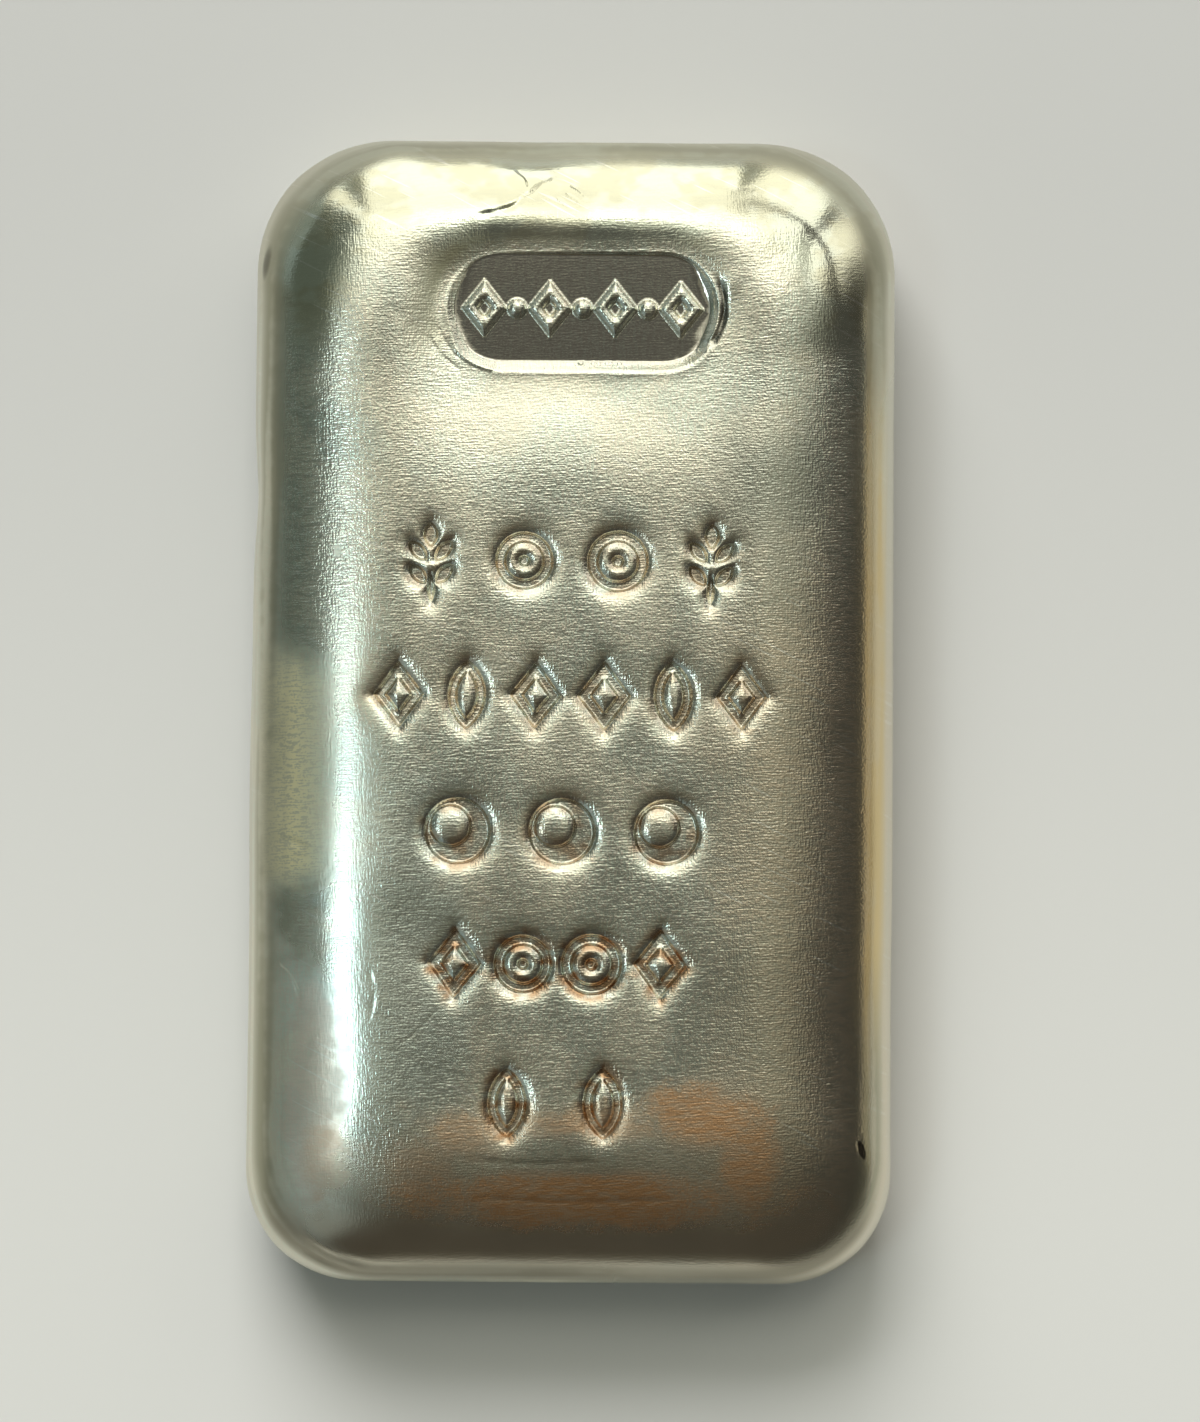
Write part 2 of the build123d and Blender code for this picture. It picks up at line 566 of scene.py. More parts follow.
CREASES = (
    # at the head
    (
        [(-4.4, 21.4), (-3.6, 21.6), (-2.8, 21.8), (-2.3, 22.3), (-1.9, 22.5), (-1.5, 23.0), (-0.5, 23.4)],
        0.11,
        0.042,
        0.03,
    ),
    ([(-2.8, 24.0), (-2.6, 23.6), (-2.2, 23.2), (-2.1, 22.7)], 0.06, 0.016, -0.012),
    ([(-0.3, 22.9), (0.1, 22.7), (0.5, 22.2)], 0.07, 0.02, 0.01),
    ([(-0.5, 22.5), (0.0, 22.2), (0.3, 21.8)], 0.07, 0.02, 0.01),
    ([(-0.9, 22.3), (-0.3, 21.8), (0.1, 21.4)], 0.07, 0.016, 0.008),
    ([(4.6, 23.6), (5.6, 22.9), (6.9, 22.6), (8.0, 22.9)], 0.12, 0.012, 0.012),
    ([(1.6, 23.3), (2.6, 22.7), (3.9, 22.5)], 0.12, 0.01, 0.01),
    ([(-7.6, 22.2), (-5.2, 22.5), (-3.2, 23.0)], 0.1, 0.004, 0.004),
    # round the panel
    (arc_points(-3.2, 17.4, 2.9, 195, 262), 0.07, 0.016, 0.008),
    (arc_points(-3.4, 17.6, 3.35, 205, 245), 0.09, 0.01, 0.008),
    (arc_points(3.8, 17.5, 2.68, -44, 30), 0.13, 0.13, 0.0),
    # ripples at the foot, and wrinkles in its left corner
    ([(-4.8, -19.35), (-2.0, -19.6), (1.6, -19.45)], 0.12, 0.02, 0.008),
    ([(-4.3, -21.1), (0.0, -21.3), (4.6, -21.15)], 0.12, 0.022, 0.008),
    ([(-7.5, -22.2), (-1.0, -22.6), (6.0, -22.5)], 0.16, 0.01, 0.004),
    ([(-12.5, -23.8), (-11.3, -24.5), (-9.6, -25.0)], 0.13, 0.09, 0.02),
    ([(-12.0, -23.5), (-11.0, -24.1), (-9.9, -24.5)], 0.12, 0.07, 0.02),
    ([(-10.4, -24.2), (-8.6, -24.7), (-6.6, -24.9)], 0.12, 0.05, 0.015),
    # folds on the left flank
    ([(-13.6, -5.7), (-12.6, -5.7), (-11.4, -6.05)], 0.14, 0.05, 0.02),
    ([(-13.5, -6.5), (-12.2, -6.55), (-11.0, -6.5)], 0.12, 0.012, 0.0),
    ([(-13.4, -7.1), (-12.4, -7.1), (-11.1, -7.2)], 0.12, 0.014, 0.0),
    ([(-13.5, -7.7), (-12.3, -7.75), (-10.9, -7.7)], 0.12, 0.014, -0.01),
    # scratches, and the chip's groove
    ([(-13.0, -11.1), (-12.3, -11.5), (-11.8, -12.3), (-11.7, -12.9)], 0.08, 0.02, 0.012),
    ([(-5.6, -12.9), (-6.6, -14.0), (-7.5, -14.7)], 0.06, 0.01, 0.0),
    ([(-8.6, -11.2), (-8.3, -12.4), (-8.6, -13.6)], 0.09, 0.01, 0.006),
    ([(12.75, -18.5), (12.9, -18.95), (13.0, -19.4)], 0.13, 0.02, 0.0),
)
CREASE_OFFSETS = np.array((0, 0.45, 0.9, 1.5, 2.4))

creases = [(rounded(points), *sizes) for points, *sizes in CREASES]
for points, width, depth, step in creases:
    line = np.array(points)
    combs.append(comb(line[:-1], line[1:], width * CREASE_OFFSETS, width))
print(len(creases), "creases")

# %% [markdown]
# Where two combs cross, or a comb meets the scatter, points crowd together. Each point claims some room round
# it: little at a punch's edge, more further off. The points with the least room go first, and each point that
# is kept drops the later ones that lie in its room. So the mesh grades evenly from the fine edges to the open
# face.


# %% The scatter, the thinning and the triangles
def scatter(pitch):
    """Rows of evenly spaced points, every other row shifted by half a step."""
    half_width, half_length = sheet_half_width, sheet_half_length
    ys = np.arange(-half_length, half_length, pitch * sqrt(3) / 2)
    rows = []
    for number, y in enumerate(ys):
        xs = np.arange(-half_width + (number % 2) * pitch / 2, half_width, pitch)
        rows.append(np.column_stack((xs, np.full(len(xs), y), np.full(len(xs), 0.8 * pitch))))
    return np.vstack(rows)


def thin(points):
    points = points[np.argsort(points[:, 2], kind="stable")]
    nearby = KDTree(len(points))
    for number, (x, y, room) in enumerate(points):
        nearby.insert((x, y, 0.0), number)
    nearby.balance()
    kept = np.ones(len(points), bool)
    for number, (x, y, room) in enumerate(points):
        if kept[number]:
            for _, other, _ in nearby.find_range((x, y, 0.0), room):
                if other > number:
                    kept[other] = False
    return points[kept, :2]


def inside_ring(points, ring):
    """Which points lie inside a ring that goes round the middle and bulges everywhere."""
    following = np.roll(ring, -1, axis=0)
    along = following - ring
    inside = np.ones(len(points), bool)
    for corner, direction in zip(ring, along):
        away = points - corner
        inside &= direction[0] * away[:, 1] - direction[1] * away[:, 0] > 0.05 * np.hypot(*direction)
    return inside


loose = thin(np.vstack((*combs, scatter(0.3))))
loose = loose[inside_ring(loose, rings[0])]
loop = [(i, (i + 1) % around) for i in range(around)]
inner = np.vstack((rings[0], loose))
joined = delaunay_2d_cdt([Vector(point) for point in inner], loop, [], 1, 1e-5, True)
print(len(joined[0]), "points make", len(joined[2]), "triangles in the middle; put in", len(inner))

# %% [markdown]
# The flat sheet is now put together: triangles in the middle, quads from ring to ring, and a second island of
# quads that will close the base. Each point carries a share: 1 on the skin, and falling to 0 at the middle of
# the base, where the tree will pull the second island's points together.

# %% The flat sheet
BASE_SHARES = (1.0, 0.9, 0.75, 0.6, 0.45, 0.3, 0.15)

joined_points, _, joined_triangles, origins = joined[:4]
sheet_points = [np.array([tuple(point) for point in joined_points])]
first_ring = np.empty(around, int)
for number, origin in enumerate(origins):
    for source in origin:
        if source < around:
            first_ring[source] = number
ring_numbers = [first_ring]
point_total = len(joined_points)
for ring in rings[1:] + [rings[-1]] * len(BASE_SHARES):
    sheet_points.append(ring)
    ring_numbers.append(np.arange(point_total, point_total + around))
    point_total += around
flat_faces = [tuple(triangle) for triangle in joined_triangles]
for number in range(len(ring_numbers) - 1):
    if number == len(rings) - 1:
        continue
    near, far = ring_numbers[number], ring_numbers[number + 1]
    flat_faces += [
        (near[i], far[i], far[(i + 1) % around], near[(i + 1) % around]) for i in range(around)
    ]
flat_points = np.vstack(sheet_points)
shares = np.ones(point_total)
for share, numbers in zip(BASE_SHARES, ring_numbers[len(rings):]):
    shares[numbers] = share
flat_faces.append(tuple(ring_numbers[-1]))

sheet_mesh = bpy.data.meshes.new("cast_silver_ingot")
sheet_mesh.from_pydata([(x * MM, y * MM, 0.0) for x, y in flat_points], [], flat_faces)
sheet_mesh.attributes.new("share", "FLOAT", "POINT").data.foreach_set("value", shares)
print("the sheet has", len(flat_points), "points and", len(flat_faces), "faces")


# %% [markdown]
# A cast surface is never quite even. Low swells, the dents that handling left, a crease near the head where
# two tongues of melt met and the fine ripples of the last metal to freeze are worked out here as one height
# for each point of the sheet, in millimetres, which the tree adds along the skin's own normal.


# %% Shapes to sculpt with, in millimetres
across_sheet, along_sheet = flat_points[:, 0], flat_points[:, 1]


def swell(x, y, radius_x, radius_y, height, turn=0.0):
    """A smooth low mound, or a dent where its height is negative."""
    away_x, away_y = across_sheet - x, along_sheet - y
    turned_x = away_x * cos(turn) + away_y * sin(turn)
    turned_y = away_y * cos(turn) - away_x * sin(turn)
    return height * np.exp(-((turned_x / radius_x) ** 2) - (turned_y / radius_y) ** 2)


def crease(points, width, depth, step=0.0):
    """A groove along a line of points that wanes towards its ends, with one side a step above the other."""
    lengths = [float(np.hypot(x1 - x0, y1 - y0)) for (x0, y0), (x1, y1) in zip(points, points[1:])]
    nearest = np.full(len(across_sheet), 1e9)
    side = np.zeros(len(across_sheet))
    travelled = np.zeros(len(across_sheet))
    for number, ((x0, y0), (x1, y1)) in enumerate(zip(points, points[1:])):
        run_x, run_y = (x1 - x0) / lengths[number], (y1 - y0) / lengths[number]
        along = np.clip((across_sheet - x0) * run_x + (along_sheet - y0) * run_y, 0, lengths[number])
        away_x = across_sheet - x0 - along * run_x
        away_y = along_sheet - y0 - along * run_y
        distance = np.hypot(away_x, away_y)
        closer = distance < nearest
        nearest = np.where(closer, distance, nearest)
        side = np.where(closer, np.sign(run_x * away_y - run_y * away_x), side)
        travelled = np.where(closer, sum(lengths[:number]) + along, travelled)
    waning = np.clip(2.5 * np.sin(pi * travelled / sum(lengths)), 0, 1)
    strength = waning * (0.75 + 0.25 * np.sin(5 * travelled + width))
    groove = -depth * np.exp(-((nearest / width) ** 2))
    return strength * (groove + step * side * np.exp(-nearest / (4 * width)) * np.minimum(nearest / width, 1))


def even_noise(seed, count, smallest, largest, height):
    """Many soft mounds and dents of random size, scattered evenly over the skin."""
    rng = np.random.default_rng(seed)
    total = np.zeros(len(across_sheet))
    for _ in range(count):
        x = rng.uniform(-sheet_half_width, sheet_half_width)
        y = rng.uniform(-sheet_half_length, sheet_half_length)
        radius = rng.uniform(smallest, largest)
        narrower = radius * rng.uniform(0.6, 1.0)
        own_height = rng.normal() * height
        total += swell(x, y, radius, narrower, own_height, rng.uniform(0, pi))
    return total


# %% [markdown]
# The blow that sank the panel pulled the metal round it down with it. The dish that this left is short on the
# side of the head and long on the side of the foot, where it catches the window. The single swells and dents
# are the large ones that bend a reflection, and the even noise stands for all the others.


# %% The skin's own unevenness
def panel_dish(depth):
    beside = np.maximum(np.abs(across_sheet - PANEL_X) - (PANEL_LENGTH - PANEL_HEIGHT) / 2, 0)
    away_x, away_y = beside, along_sheet - PANEL_Y
    distance = np.maximum(np.hypot(away_x, away_y) - PANEL_HEIGHT / 2, 0)
    footwards = np.clip(0.5 - away_y / (2 * np.maximum(np.hypot(away_x, away_y), 1e-6)), 0, 1)
    reach = 1.15 + 2.45 * footwards**2
    deeper_left = 1 - 0.03 * np.clip(across_sheet - PANEL_X, -6, 6)
    return -depth * deeper_left * np.exp(-((distance / reach) ** 1.5))


# middle, reach across and along, height, and turn in degrees
SWELLS = (
    # south and left of the panel
    (PANEL_X, 10.4, 6.0, 2.0, 0.04, 0),
    (-6.3, 19.2, 1.5, 1.4, -0.1, 0),
    # a dent, a long ridge and a slight bulge on the left flank
    (-sheet_half_width, 9.2, 1.8, 2.0, -0.17, 0),
    (2.0 - sheet_half_width, 1.0, 0.9, 21.0, 0.13, 0),
    (-sheet_half_width, -3.5, 1.5, 4.0, 0.06, 0),
    # close to the panel's two ends
    (6.75, 18.5, 0.35, 0.5, 0.05, 0),
    (-6.7, 16.2, 0.6, 0.9, -0.025, 20),
    (-7.7, 17.0, 0.35, 0.25, -0.015, 0),
    # at the head, from its left corner to its right one
    (-9.4, 21.6, 1.0, 0.8, 0.04, 0),
    (-7.8, 25.0, 1.2, 1.0, 0.06, 0),
    (-1.9, 24.9, 1.3, 1.2, -0.12, 0),
    (8.6, 19.6, 1.6, 1.0, -0.05, 20),
    (10.6, 20.8, 1.5, 1.0, 0.05, -40),
    (11.4, 15.6, 1.2, 0.8, -0.03, 0),
    (12.3, 17.0, 1.0, 1.4, 0.05, 0),
)

sculpted = panel_dish(0.5)
sculpted += even_noise(3, 60, 2.5, 6.0, 0.022)
sculpted += even_noise(5, 260, 0.6, 2.0, 0.007)
near_head = np.clip((along_sheet - 20.5) / 3, 0, 1) * np.clip((26.6 - along_sheet) / 1.5, 0, 1)
sculpted += even_noise(7, 260, 0.9, 2.2, 0.024) * near_head
for x, y, reach_x, reach_y, height, turn in SWELLS:
    sculpted += swell(x, y, reach_x, reach_y, height, radians(turn))
for points, width, depth, step in creases:
    sculpted += crease(points, width, depth, step)
sheet_mesh.attributes.new("sculpted", "FLOAT", "POINT").data.foreach_set("value", sculpted * MM)
print("the sculpting runs from", round(sculpted.min(), 3), "to", round(sculpted.max(), 3), "mm")

# %% [markdown]
# The last tree does the work. It measures how far each point lies inside the rim or beyond it, turns that
# into the surface's tilt by the rule above, and moves the point to where the skin is. Geometry Proximity then
# gives the distance to the nearest edge that a punch cuts, and one profile across that edge makes the flat
# floor, the wall and the rounded shoulder of a mark. The tree grows over the next cells.


# %% Distance from an edge that a punch cuts
def signed_distance(tree, target, position):
    """Distance from the outline of flat faces: below 0 inside them, above 0 outside."""
    faces = add_node(tree, "GeometryNodeObjectInfo", Object=target)
    geometry = Flow(tree, faces.outputs["Geometry"])
    to_faces = add_node(tree, "GeometryNodeProximity", {"target_element": "FACES"}, Sample_Position=position)
    plug(tree, geometry, to_faces.inputs[0])
    neighbours = tree.nodes.new("GeometryNodeInputMeshEdgeNeighbors")
    outer = Flow(tree, neighbours.outputs[0]).do("LESS_THAN", 1.5)
    outline = add_node(
        tree, "GeometryNodeSeparateGeometry", {"domain": "EDGE"}, Geometry=geometry, Selection=outer
    )
    to_edges = add_node(tree, "GeometryNodeProximity", {"target_element": "EDGES"}, Sample_Position=position)
    plug(tree, Flow(tree, outline.outputs[0]), to_edges.inputs[0])
    outside = Flow(tree, to_faces.outputs["Distance"]).do("GREATER_THAN", 1e-7)
    return Flow(tree, to_edges.outputs["Distance"]) * (2.0 * outside - 1.0)


def smooth_step(value, start, end):
    """0 before start, 1 after end, and an even curve between; where start is greater, 1 below end."""
    settings = {"interpolation_type": "SMOOTHSTEP"}
    ramp = add_node(value.tree, "ShaderNodeMapRange", settings, Value=value, From_Min=start, From_Max=end)
    return Flow(value.tree, ramp.outputs[0])


def soft_ramp(share):
    """A slope from 0 to 1 that is eased a little at both ends."""
    share = share.do("MAXIMUM", 0.0).do("MINIMUM", 1.0)
    return 0.6 * share + 0.4 * share * share * (3.0 - 2.0 * share)


def fading(distance, reach):
    """1 where the distance is 0, dying away to a third at the reach."""
    return (-(distance / reach)).do("EXPONENT")


# %% The tree that draws the sheet over the ingot's form
skin, group_in, group_out = new_tree(
    "skin of the melt",
    Half_width="Float",
    Half_length="Float",
    Head_corner="Float",
    Foot_corner="Float",
    Corner_shrink="Float",
    Capillary_length="Float",
    Top_height="Float",
    Level_drop="Float",
    Wall_tilt="Float",
    Wall_length="Float",
    Base_radius="Float",
    Foot_widening="Float",
    Marks="Object",
    Mark_depth="Float",
    Panel="Object",
    Panel_floor="Float",
    Relief="Object",
    Relief_height="Float",
    Material="Material",
)


def given(name):
    return Flow(skin, group_in.outputs[name])


print("the tree takes", len(skin.interface.items_tree) - 1, "inputs")

# %% [markdown]
# The rim is a rectangle with round corners. A point's inset from it is its distance to the nearest side or,
# in a corner, to the corner's arc. Inwards an arc's radius shrinks by less than the inset, as it does on a
# real melt, so there the inset is the root of a quadratic equation.

# %% How far inside the rim, or beyond it
sheet = given("Geometry")
position = Flow(skin, skin.nodes.new("GeometryNodeInputPosition").outputs[0])
parts = add_node(skin, "ShaderNodeSeparateXYZ", Vector=position)
x, y = Flow(skin, parts.outputs[0]), Flow(skin, parts.outputs[1])
share = Flow(skin, add_node(skin, "GeometryNodeInputNamedAttribute", Name="share").outputs[0])
sculpted_height = Flow(skin, add_node(skin, "GeometryNodeInputNamedAttribute", Name="sculpted").outputs[0])
capillary = given("Capillary length")

half_width, half_length = given("Half width"), given("Half length")
corner = blend(given("Foot corner"), given("Head corner"), y.do("GREATER_THAN", 0.0))
shrink = given("Corner shrink")
size_x, size_y = x.do("ABSOLUTE"), y.do("ABSOLUTE")
corner_x, corner_y = size_x - half_width + corner, size_y - half_length + corner
out_x, out_y = corner_x.do("MAXIMUM", 0.0), corner_y.do("MAXIMUM", 0.0)
reach_out = (out_x * out_x + out_y * out_y).do("SQRT").do("MAXIMUM", 1e-9)
beyond = (reach_out + corner_x.do("MAXIMUM", corner_y).do("MINIMUM", 0.0) - corner).do("MAXIMUM", 0.0)
side_inset = (half_width - size_x).do("MINIMUM", half_length - size_y)
grow = 1.0 - shrink
in_corner = (corner_x + grow * side_inset).do("GREATER_THAN", 0.0) * (
    corner_y + grow * side_inset
).do("GREATER_THAN", 0.0)
a_term = 2.0 * grow * grow - shrink * shrink
b_term = grow * (corner_x + corner_y) + shrink * corner
c_term = corner_x * corner_x + corner_y * corner_y - corner * corner
root = (b_term * b_term - a_term * c_term).do("MAXIMUM", 0.0).do("SQRT")
inset = blend(side_inset, (root - b_term) / a_term, in_corner).do("MAXIMUM", 0.0)
print("with the inset there are", len(skin.nodes), "nodes")

# %% Which way is outwards
radius = (corner - shrink * inset).do("MAXIMUM", 1e-6)
nearer_side = (half_width - size_x).do("LESS_THAN", half_length - size_y)
inner_x = blend(nearer_side, (corner_x + grow * inset) / radius, in_corner)
inner_y = blend(1.0 - nearer_side, (corner_y + grow * inset) / radius, in_corner)
is_beyond = beyond.do("GREATER_THAN", 1e-7)
outwards_x = blend(inner_x, out_x / reach_out, is_beyond) * x.do("SIGN")
outwards_y = blend(inner_y, out_y / reach_out, is_beyond) * y.do("SIGN")
print("with the direction there are", len(skin.nodes), "nodes")

# %% [markdown]
# The inset gives the tilt of the free surface, and the tilt gives how far the surface has fallen there and
# how far the skin is drawn in. Beyond the rim the skin runs down the mould's wall and round the base's small
# arc.

# %% The free surface
along_skin = inset / capillary - log(tan(pi / 8))
half_tilt = 2.0 * (-along_skin).do("EXPONENT").do("ARCTANGENT")
drawn_in = 2.0 * capillary * (1.0 - half_tilt.do("COSINE"))
fall = 2.0 * capillary * half_tilt.do("SINE") - given("Level drop")
soft = 0.15 * MM
fall = 0.5 * (fall + (fall * fall + soft * soft).do("SQRT"))
print("with the free surface there are", len(skin.nodes), "nodes")

# %% The mould's wall and the radius round the base
wall_tilt = given("Wall tilt")
wall = beyond.do("MINIMUM", given("Wall length"))
ease = 0.25 * MM
wall_in = ((wall * wall + ease * ease).do("SQRT") - ease) * (-wall_tilt.do("COSINE"))
base_radius = given("Base radius")
arc = (beyond - given("Wall length")).do("MAXIMUM", 0.0)
arc_tilt = wall_tilt + arc / base_radius
arc_in = base_radius * (wall_tilt.do("SINE") - arc_tilt.do("SINE"))
arc_down = base_radius * (wall_tilt.do("COSINE") - arc_tilt.do("COSINE"))
z = given("Top height") - fall - wall * wall_tilt.do("SINE") - arc_down
moved = drawn_in + beyond + wall_in + arc_in
wall_start = blend(pi / 2, wall_tilt, smooth_step(beyond, 0.0, 2 * ease))
tilt = blend(2.0 * half_tilt, wall_start + arc / base_radius, is_beyond)
plan_x = x - outwards_x * moved
plan_y = y - outwards_y * moved
print("with the wall there are", len(skin.nodes), "nodes")

# %% [markdown]
# The panel is sunk to a level floor, steeper at the head's side than at the foot's, and its relief stands on
# that floor with round backs. A struck mark has a rounded shoulder, then a steep wall, and some blows were
# heavier than others.

# %% The panel and its relief
from_panel = signed_distance(skin, given("Panel"), position)
headwards = smooth_step(y, (PANEL_Y + 0.8) * MM, (PANEL_Y + 2.2) * MM)
footwards = smooth_step(-y, -(PANEL_Y - 0.8) * MM, -(PANEL_Y - 2.2) * MM)
wall_run = blend(0.42 * MM, 0.14 * MM, headwards)
in_panel = soft_ramp((0.26 * MM * footwards - from_panel) / wall_run)
z = blend(z, given("Panel floor"), in_panel)
low_on_wall = smooth_step(beyond, 0.5 * given("Wall length"), given("Wall length"))
sculpted_height = sculpted_height * (1.0 - in_panel) * (1.0 - low_on_wall)
from_lip = (from_panel - 0.26 * MM * footwards).do("ABSOLUTE")
lip = (0.04 * MM) * (1.0 - headwards) * fading(from_lip, 0.12 * MM)
from_relief = signed_distance(skin, given("Relief"), position)
in_panel = in_panel * smooth_step(from_relief, 0.0, 0.06 * MM)
raised = given("Relief height") * (1.0 - fading((-from_relief).do("MAXIMUM", 0.0), 0.16 * MM))
print("with the panel there are", len(skin.nodes), "nodes")

# %% The struck marks
from_mark = signed_distance(skin, given("Marks"), position)
weight = add_node(skin, "ShaderNodeTexNoise", Vector=position, Scale=0.3 / MM, Detail=0.0)
depth = given("Mark depth") * blend(0.7, 1.3, Flow(skin, weight.outputs["Fac"]))
shoulder = 0.45 * depth * fading(from_mark.do("MAXIMUM", 0.0), 0.26 * MM)
cut = 0.55 * depth * soft_ramp(-from_mark / (0.11 * MM))
along_normal = sculpted_height + lip + raised - shoulder - cut
print("with the marks there are", len(skin.nodes), "nodes")

# %% The finished place of each point
sine = tilt.do("SINE")
plan_x = (plan_x + along_normal * sine * outwards_x) * (1.0 - given("Foot widening") * plan_y)
plan_y = plan_y + along_normal * sine * outwards_y
z = (z + along_normal * tilt.do("COSINE")) * share.do("GREATER_THAN", 0.999)
place_now = add_node(skin, "ShaderNodeCombineXYZ", X=plan_x * share, Y=plan_y * share, Z=z)
on_point = {"domain": "POINT"}
kept_numbers = {"from_mark": from_mark / MM, "from_panel": from_panel / MM, "in_panel": in_panel}
for name, number in kept_numbers.items():
    store = add_node(skin, "GeometryNodeStoreNamedAttribute", on_point, Geometry=sheet, Name=name)
    plug(skin, number, store.inputs["Value"])
    sheet = Flow(skin, store.outputs[0])
moved_sheet = add_node(
    skin, "GeometryNodeSetPosition", Geometry=sheet, Position=Flow(skin, place_now.outputs[0])
)
closed = add_node(
    skin, "GeometryNodeMergeByDistance", Geometry=Flow(skin, moved_sheet.outputs[0]), Distance=1e-6
)
plain = add_node(skin, "GeometryNodeRealizeInstances", Geometry=Flow(skin, closed.outputs[0]))
finished = add_node(
    skin, "GeometryNodeSetMaterial", Geometry=Flow(skin, plain.outputs[0]), Material=given("Material")
)
plug(skin, Flow(skin, finished.outputs[0]), group_out.inputs[0])
print("the whole tree has", len(skin.nodes), "nodes")

# %% The ingot's skin
PANEL_FLOOR = TOP_HEIGHT - 0.76
ingot = link("cast_silver_ingot", sheet_mesh)
ingot.data = apply_tree(
    ingot,
    skin,
    Half_width=sheet_half_width * MM,
    Half_length=sheet_half_length * MM,
    Head_corner=(HEAD_CORNER_RADIUS + drawn_in_at_rim) * MM,
    Foot_corner=(FOOT_CORNER_RADIUS + drawn_in_at_rim) * MM,
    Corner_shrink=CORNER_SHRINK,
    Capillary_length=CAPILLARY_LENGTH * MM,
    Top_height=TOP_HEIGHT * MM,
    Level_drop=level_drop * MM,
    Wall_tilt=WALL_TILT,
    Wall_length=wall_length * MM,
    Base_radius=BASE_RADIUS * MM,
    Foot_widening=(FOOT_HALF_WIDTH / HEAD_HALF_WIDTH - 1) / (2 * HALF_LENGTH * MM),
    Marks=marks,
    Mark_depth=0.38 * MM,
    Panel=panel,
    Panel_floor=PANEL_FLOOR * MM,
    Relief=relief,
    Relief_height=0.3 * MM,
    Material=silver,
)
ingot.data.shade_smooth()
for helper in (marks, panel, relief, *punches.objects):
    bpy.data.objects.remove(helper)
triangles = sum(len(polygon.vertices) - 2 for polygon in ingot.data.polygons)
print("the ingot has", len(ingot.data.vertices), "points and", triangles, "triangles")

# %% [markdown]
# The bar was tumbled and brushed, mostly across its width. Brushed metal spreads a reflection at right angles
# to the brushing, so the silver's gloss is anisotropic: sharp across the ingot and long drawn out along it.
# The single scratches are bump, in two crossing sets of stretched noise with fine pits between them. Noise is
# stretched by scaling the coordinates, counted here in millimetres of the object's own space.


# %% Helpers for patterns in a material
def coordinates(tree):
    """The piece's own coordinates, in millimetres."""
    source = tree.nodes.new("ShaderNodeTexCoord")
    scaled = add_node(tree, "ShaderNodeVectorMath", {"operation": "SCALE"}, Scale=1 / MM)
    tree.links.new(source.outputs["Object"], scaled.inputs[0])
    return Flow(tree, scaled.outputs[0])


def turned(tree, place, angle):
    """Coordinates turned about Z."""
    node = add_node(tree, "ShaderNodeVectorRotate", {"rotation_type": "Z_AXIS"}, Vector=place, Angle=angle)
    return Flow(tree, node.outputs[0])


def noise(tree, place, scale, detail=0.0, shift=(0.0, 0.0, 0.0)):
    """Noise with its own number of waves in a millimetre along each axis."""
    stretched = add_node(tree, "ShaderNodeVectorMath", {"operation": "MULTIPLY_ADD"})
    plug(tree, place, stretched.inputs[0])
    stretched.inputs[1].default_value = scale
    stretched.inputs[2].default_value = [a * b for a, b in zip(shift, scale)]
    place_now = Flow(tree, stretched.outputs[0])
    texture = add_node(tree, "ShaderNodeTexNoise", Vector=place_now, Scale=1.0, Detail=detail)
    return Flow(tree, texture.outputs["Fac"])


def mix_color(tree, share, start, end):
    """Two colours, either of them a node's or a plain one, mixed by a share."""
    node = add_node(tree, "ShaderNodeMix", {"data_type": "RGBA"})
    plug(tree, share, node.inputs[0])
    plug(tree, start, node.inputs[6])
    plug(tree, end, node.inputs[7])
    return Flow(tree, node.outputs[2])


def attribute(tree, name):
    """A number that the mesh carries at each point."""
    node = add_node(tree, "ShaderNodeAttribute", {"attribute_name": name})
    return Flow(tree, node.outputs["Fac"])


def spot(x, y, centre_x, centre_y, reach_x, reach_y, wobble, softness=0.4):
    """1 inside an ellipse whose outline wanders with the wobble, 0 outside it."""
    away_x = x.do("MULTIPLY_ADD", 1 / reach_x, -centre_x / reach_x)
    away_y = y.do("MULTIPLY_ADD", 1 / reach_y, -centre_y / reach_y)
    away = away_y.do("MULTIPLY_ADD", away_y, away_x * away_x) + wobble
    return smooth_step(away, 1.0 + softness, 1.0 - softness)


# %% [markdown]
# Which place is polished, brushed or bare is a mask: a number from 0 to 1 that follows from where the point
# is. The head is polished, and a patch on the left flank was rubbed bare and dull. Lengths are in
# millimetres, and a little noise makes each border wander.

# %% The silver's coordinates and its masks
metal = silver.node_tree
here = coordinates(metal)
axes = add_node(metal, "ShaderNodeSeparateXYZ", Vector=here)
x, y, z = (Flow(metal, axes.outputs[i]) for i in range(3))
from_mark = attribute(metal, "from_mark")
from_panel = attribute(metal, "from_panel")
in_panel = attribute(metal, "in_panel")

patches = noise(metal, here, (0.35, 0.35, 0.35), shift=(3.0, 11.0, 5.0))
small_patches = noise(metal, here, (1.3, 1.7, 1.3), detail=1.0, shift=(8.0, 1.0, 2.0))
wobble = (small_patches - 0.5) * 1.5 + (patches - 0.5) * 1.5

